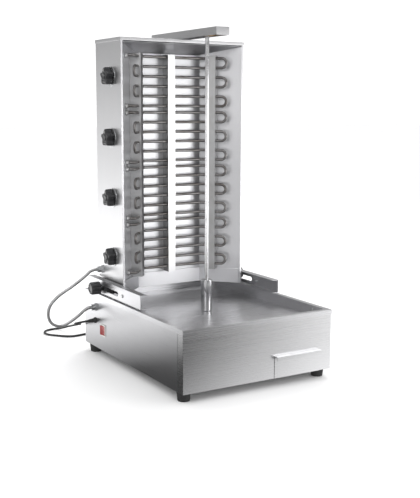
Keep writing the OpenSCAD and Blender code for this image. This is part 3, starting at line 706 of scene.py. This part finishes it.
def make_heat_knobs():
    """Each heat knob with its spindle and its pale pointer."""
    for i in range(ZONES):
        body = f"knob_{i + 1}"
        hub = place(-HEATER_X - KNOB_OFF_WALL, KNOB_DEPTH, KNOB_LOW + KNOB_PITCH * i)
        knob = fluted_knob(f"star_knob_{i + 1}", hub, (-1, 0, 0), STAR, STAR_PROFILE,
                           MATERIALS["black"], body)
        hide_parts(f"heat_knob_{i + 1}")
        spindle = lathe(f"knob_spindle_{i + 1}", SPINDLE_PROFILE, hub, (1, 0, 0),
                        MATERIALS["zinc"], body, SMALL_SIDES)
        corners = [hub + Vector(p) * MM for p in POINTER_CORNERS]
        mark = make_object(f"knob_pointer_{i + 1}", corners, POINTER_FACES, MATERIALS["pale"],
                           body, smooth=False, bevel=POINTER_BEVEL)


def make_lock_knobs():
    """The two carriage locks on the rails, each with its metal collar."""
    for side, name in ((-1, "left"), (1, "right")):
        body = f"lock_{name}"
        seat = place(side * RAIL_X, STUD_DEPTH, SLOT_Z)
        grip = fluted_knob(f"lock_grip_{name}", seat, (side, 0, 0), LOCK, LOCK_PROFILE,
                           MATERIALS["black"], body)
        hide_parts(f"lock_knob_{name}")
        collar = lathe(f"lock_collar_{name}", LOCK_COLLAR_PROFILE, seat, (side, 0, 0),
                       MATERIALS["zinc"], body, COLLAR_SIDES)


make_heat_knobs()
make_lock_knobs()

# ---------------------------------------------------------------- switch

SWITCH_DEPTH, SWITCH_Z, WALL_X = 508, 93, 248.5
ROCKER_TILT = math.radians(8)
ROCKER_HALF, ROCKER_STEPS = 13.3, 14
ROCKER_FACE_X, ROCKER_DISH = -5.4, 1.5
ROCKER_BACK = [(-2.0, 13.1), (6.5, 5.5), (6.5, -5.5), (-2.0, -13.1)]
# Each ring of the cap: its height, and how much it is drawn in.
ROCKER_RINGS = [(-14.9, 0.9), (-14.6, 0.3), (-13.9, 0), (13.9, 0), (14.6, 0.3), (14.9, 0.9)]


def make_rocker():
    """A rocker cap with a dished face; it rests with its front end pressed in."""
    tilt = Quaternion((0, 0, 1), ROCKER_TILT)
    pivot = place(-WALL_X + 1, SWITCH_DEPTH, SWITCH_Z)
    outline = []
    for k in range(ROCKER_STEPS + 1):
        y = -ROCKER_HALF + 2 * ROCKER_HALF * k / ROCKER_STEPS
        outline.append((ROCKER_FACE_X + ROCKER_DISH * (1 - (y / ROCKER_HALF) ** 2), y))
    outline += ROCKER_BACK
    rings = []
    for z, inset in ROCKER_RINGS:
        rings.append([
            pivot + tilt @ (Vector((x + (inset if x < 0 else -inset),
                                    y * (1 - inset / 14), z)) * MM)
            for x, y in outline
        ])
    verts, faces = loft(rings)
    cap = make_object("rocker_cap", verts, faces, MATERIALS["red"], "rocker")
    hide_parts("switch_rocker")


make_rocker()

# ---------------------------------------------------------------- small turned parts

# A screw head's (height, radius, whether it belongs to the six-sided drive), as shares of its own.
SCREW_SECTIONS = [
    (0.0, 1.0, False), (0.25, 1.0, False), (0.6, 0.95, False), (0.85, 0.82, False),
    (1.0, 0.62, False), (1.0, 0.50, True), (0.45, 0.46, True), (0.42, 0.05, True),
]
DRIVE_SHARE = 0.9


def make_relief():
    """The tapered strain relief with its ribs, from the wall to the lead."""
    profile = [(0, 3.4), (0, 9.0), (0.6, 9.4), (2.4, 9.4), (3.0, 8.8), (3.2, 7.4)]
    for k in range(4):
        start = 4.6 + 4.4 * k
        r = 7.2 - 0.55 * k
        profile += [(start, r), (start + 2.4, r - 0.25), (start + 2.7, r - 1.4),
                    (start + 4.0, r - 1.5), (start + 4.3, r - 0.6)]
    profile += [(22.9, 4.8), (23.5, 4.3), (23.5, 3.45)]
    boot = lathe("relief_boot", profile, place(-WALL_X, 568, 114), (-1, 0, 0),
                 MATERIALS["rubber"], "base", COLLAR_SIDES)
    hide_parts("strain_relief")


def screw_head(name, centre, axis, radius, height, body):
    """A button head with a sunk six-sided drive."""
    axis, u, v = axes_for(axis)
    rings = []
    for along, scale, hexed in SCREW_SECTIONS:
        ring = []
        for k in range(SMALL_SIDES):
            a = PI2 * k / SMALL_SIDES
            flat = (a + math.pi / 6) % (math.pi / 3) - math.pi / 6
            r = radius * scale * (DRIVE_SHARE / math.cos(flat) if hexed else 1)
            ring.append(centre + along * height * MM * axis
                        + r * MM * (math.cos(a) * u + math.sin(a) * v))
        rings.append(ring)
    verts, faces = loft(rings)
    head = make_object(name, verts, faces, MATERIALS["zinc"], body)


STOP_DEPTH = 380
PAN_SCREW_X, PAN_SCREW_Z, PAN_SCREW_DEPTHS = 234, 192, (74, 590)
COMB_SCREW_X, COMB_PROUD, COMB_SCREW_HEIGHTS = -8, 36, (424, 546, 673, 797)
COVER_SCREW_X, COVER_DEPTH, COVER_SCREW_HEIGHTS = 167, 609.5, (312, 592, 872)


def make_screws():
    """The heads on the rails' stops, the pan, the centre comb and the rear cover."""
    number = 0
    for side, name in ((-1, "left"), (1, "right")):
        screw_head(f"stop_screw_{name}", place(side * RAIL_X, STOP_DEPTH, SLOT_Z),
                   (side, 0, 0), 5, 2.6, "base")
        for depth in PAN_SCREW_DEPTHS:
            number += 1
            screw_head(f"pan_screw_{number}", place(side * PAN_SCREW_X, depth, PAN_SCREW_Z),
                       (-side, 0, 0), 4.5, 2.6, "base")
    for k, z in enumerate(COMB_SCREW_HEIGHTS):
        screw_head(f"comb_screw_{k + 1}", place(COMB_SCREW_X, BACK_DEPTH - COMB_PROUD, z),
                   (0, -1, 0), 3.5, 2.0, "carriage")
    number = 0
    for side in (-1, 1):
        for z in COVER_SCREW_HEIGHTS:
            number += 1
            screw_head(f"cover_screw_{number}", place(side * COVER_SCREW_X, COVER_DEPTH, z),
                       (0, 1, 0), 4, 2.2, "carriage")


make_relief()
make_screws()

# ---------------------------------------------------------------- CAD nodes

# The CAD nodes that stay in view, by the material that each gets.
NODE_MATERIALS = {
    "wall": ["base_housing", "bottom_plate", "drain_spout", "motor_bracket", "drawer_runners",
             "guide_rail_left", "guide_rail_right"],
    "front": ["front_panel", "drawer_tray", "drawer_front"],
    "pan": ["drip_pan"],
    "heater": ["heater_shell", "heater_roof", "heater_floor", "rear_cover"],
    "arm": ["top_arm"],
    "reflector": ["back_reflector", "left_reflector", "right_reflector", "lower_reflector"],
    "hood": ["hood_reflector"],
    "comb": ["centre_comb", "left_comb", "right_comb"],
    "chrome": ["drive_shaft", "spit_socket", "spit_rod"],
    "zinc": ["pan_screws", "foot_screws", "rail_screws", "heater_screws", "base_gland",
             "heater_gland", "knob_bezels"],
    "shoe": ["slide_shoe_left", "slide_shoe_right", "heat_regulators"],
    "rubber": ["feet"],
    "pale": ["switch_frame", "terminal_block"],
    "paint": ["gear_motor", "bearing_housing"],
    "bronze": ["spit_top_bush"],
}
# How wide the nodes' edges are rounded, in metres: EDGE, or what SOFT_EDGES says.
EDGE = 0.0005
SOFT_EDGES = {
    "drip_pan": 0.0011, "feet": 0.0015, "spit_socket": 0.0012, "spit_rod": 0.0012,
    "heater_roof": 0.0008, "top_arm": 0.0010, "base_gland": 0.0008, "heater_gland": 0.0008,
    "gear_motor": 0.0015, "drawer_front": 0.0006, "front_panel": 0.0007, "base_housing": 0.0007,
}
WELD_DISTANCE = 0.00002
FLAT_ANGLE = math.radians(0.6)
EDGE_ANGLE = math.radians(25)
CRISP_ANGLE = math.radians(38)


def make_shading():
    """A modifier's node group: smooth on curved faces, crisp at edges over CRISP_ANGLE."""
    group = bpy.data.node_groups.new("shading", "GeometryNodeTree")
    group.interface.new_socket("Geometry", in_out="INPUT", socket_type="NodeSocketGeometry")
    group.interface.new_socket("Geometry", in_out="OUTPUT", socket_type="NodeSocketGeometry")
    nodes, links = group.nodes, group.links
    angle = nodes.new("GeometryNodeInputMeshEdgeAngle")
    gentle = nodes.new("FunctionNodeCompare")
    gentle.data_type = "FLOAT"
    gentle.operation = "LESS_THAN"
    gentle.inputs["B"].default_value = CRISP_ANGLE
    faces = nodes.new("GeometryNodeSetShadeSmooth")
    faces.domain = "FACE"
    edges = nodes.new("GeometryNodeSetShadeSmooth")
    edges.domain = "EDGE"
    links.new(nodes.new("NodeGroupInput").outputs[0], faces.inputs["Geometry"])
    links.new(faces.outputs["Geometry"], edges.inputs["Geometry"])
    links.new(angle.outputs["Unsigned Angle"], gentle.inputs["A"])
    links.new(gentle.outputs["Result"], edges.inputs["Shade Smooth"])
    links.new(edges.outputs["Geometry"], nodes.new("NodeGroupOutput").inputs[0])
    return group


SHADING = make_shading()


def finish_edges(node, width):
    """Rounds a node's edges: triangles are joined into flat faces first, then bevelled."""
    weld = node.modifiers.new("weld", "WELD")
    weld.merge_threshold = WELD_DISTANCE
    flat = node.modifiers.new("flat", "DECIMATE")
    flat.decimate_type = "DISSOLVE"
    flat.angle_limit = FLAT_ANGLE
    bevel = node.modifiers.new("bevel", "BEVEL")
    bevel.width = width
    bevel.segments = 2
    bevel.limit_method = "ANGLE"
    bevel.angle_limit = EDGE_ANGLE
    node.modifiers.new("shading", "NODES").node_group = SHADING
    normals = node.modifiers.new("normals", "WEIGHTED_NORMAL")
    normals.keep_sharp = True


for key, names in NODE_MATERIALS.items():
    for name in names:
        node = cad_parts[name]
        node.data.materials.clear()
        node.data.materials.append(MATERIALS[key])
        finish_edges(node, SOFT_EDGES.get(name, EDGE))

# ---------------------------------------------------------------- stage and light


FLOOR_HALF = 30
CARD_Z, CARD_DIM = 0.001, 0.05
WORLD_WHITE = (1.14, 1.14, 1.14, 1)
# How bright the studio is in reflections, by the upward part of the direction looked in.
STUDIO_GLOW = [
    (-1.0, 0.10), (-0.34, 0.12), (-0.21, 0.30), (-0.12, 1.35), (-0.02, 1.2), (0.05, 0.36),
    (0.25, 0.30), (0.6, 0.50), (1.0, 0.85),
]


def rectangle(x0, x1, y0, y1, z):
    return [(x0, y0, z), (x1, y0, z), (x1, y1, z), (x0, y1, z)]


def make_floor():
    """A wide pale floor, which the metal doesn't mirror: the light cards stand in for it there."""
    paper = Shader("paper", (0.93, 0.93, 0.93), 0.0, 0.8)
    paper.tint(paper.noise(2.0), (0.915, 0.915, 0.92))
    corners = rectangle(-FLOOR_HALF, FLOOR_HALF, -FLOOR_HALF, FLOOR_HALF, 0)
    floor = make_object("floor", corners, [(0, 1, 2, 3)], paper.material, None)
    floor.visible_glossy = False


def light_card(name, x_range, y_range, fade_along, dim_at, full_at, strength):
    """A card lying on the floor that only reflections see, fading along one direction."""
    material = bpy.data.materials.new(name)
    material.use_nodes = True
    nodes, links = material.node_tree.nodes, material.node_tree.links
    nodes.remove(nodes["Principled BSDF"])
    glow = nodes.new("ShaderNodeEmission")
    along = nodes.new("ShaderNodeVectorMath")
    along.operation = "DOT_PRODUCT"
    along.inputs[1].default_value = fade_along
    fade = nodes.new("ShaderNodeMapRange")
    fade.inputs["From Min"].default_value = dim_at
    fade.inputs["From Max"].default_value = full_at
    fade.inputs["To Min"].default_value = CARD_DIM
    fade.inputs["To Max"].default_value = strength
    links.new(nodes.new("ShaderNodeTexCoord").outputs["Object"], along.inputs[0])
    links.new(along.outputs["Value"], fade.inputs["Value"])
    links.new(fade.outputs["Result"], glow.inputs["Strength"])
    links.new(glow.outputs["Emission"], nodes["Material Output"].inputs["Surface"])
    corners = rectangle(*x_range, *y_range, CARD_Z)
    card = make_object(name, corners, [(0, 1, 2, 3)], material, None)
    for sight in ("camera", "diffuse", "shadow", "transmission", "volume_scatter"):
        setattr(card, f"visible_{sight}", False)


def area_light(name, at, towards, size, power):
    """A soft white rectangular lamp, aimed at a point."""
    data = bpy.data.lights.new(name, "AREA")
    data.shape = "RECTANGLE"
    data.size, data.size_y = size
    data.energy = power
    light = bpy.data.objects.new(name, data)
    light.location = at
    light.rotation_mode = "QUATERNION"
    light.rotation_quaternion = (Vector(towards) - Vector(at)).to_track_quat("-Z", "Y")
    bpy.context.scene.collection.objects.link(light)


def make_world():
    """White to the eye and to the floor, and graded round the horizon in reflections."""
    world = bpy.data.worlds.new("studio")
    world.use_nodes = True
    nodes, links = world.node_tree.nodes, world.node_tree.links
    split = nodes.new("ShaderNodeSeparateXYZ")
    links.new(nodes.new("ShaderNodeTexCoord").outputs["Generated"], split.inputs["Vector"])
    unit = nodes.new("ShaderNodeMapRange")
    unit.inputs["From Min"].default_value = -1.0
    links.new(split.outputs["Z"], unit.inputs["Value"])
    ramp = nodes.new("ShaderNodeValToRGB")
    stops = ramp.color_ramp.elements
    for up, level in STUDIO_GLOW[1:-1]:
        stops.new((up + 1) / 2).color = (level, level, level, 1)
    for stop, (up, level) in ((stops[0], STUDIO_GLOW[0]), (stops[-1], STUDIO_GLOW[-1])):
        stop.color = (level, level, level, 1)
    links.new(unit.outputs["Result"], ramp.inputs["Fac"])
    choose = nodes.new("ShaderNodeMix")
    choose.data_type = "RGBA"
    choose.inputs["A"].default_value = WORLD_WHITE
    links.new(nodes.new("ShaderNodeLightPath").outputs["Is Glossy Ray"], choose.inputs["Factor"])
    links.new(ramp.outputs["Color"], choose.inputs["B"])
    links.new(choose.outputs["Result"], nodes["Background"].inputs["Color"])
    bpy.context.scene.world = world


make_floor()
light_card("front_card", (-0.6, 2.4), (-2.0, -0.33), (0.65, 0.76, 0), -0.58, 0.10, 1.9)
light_card("side_card", (-2.2, -0.27), (-0.3, 4.0), (0, 1, 0), 0.05, 1.0, 2.0)
make_world()
area_light("key", (1.1, 1.5, 2.6), (0, 0, 0.1), (2.0, 2.0), 40)
area_light("fill", (-1.9, -1.5, 1.9), (0, 0, 0.5), (0.9, 1.4), 12)
area_light("softbox", (1.05, -1.5, 0.52), (0.1, 0.2, 0.62), (0.75, 0.85), 6.5)
bpy.context.scene.view_settings.view_transform = "Standard"
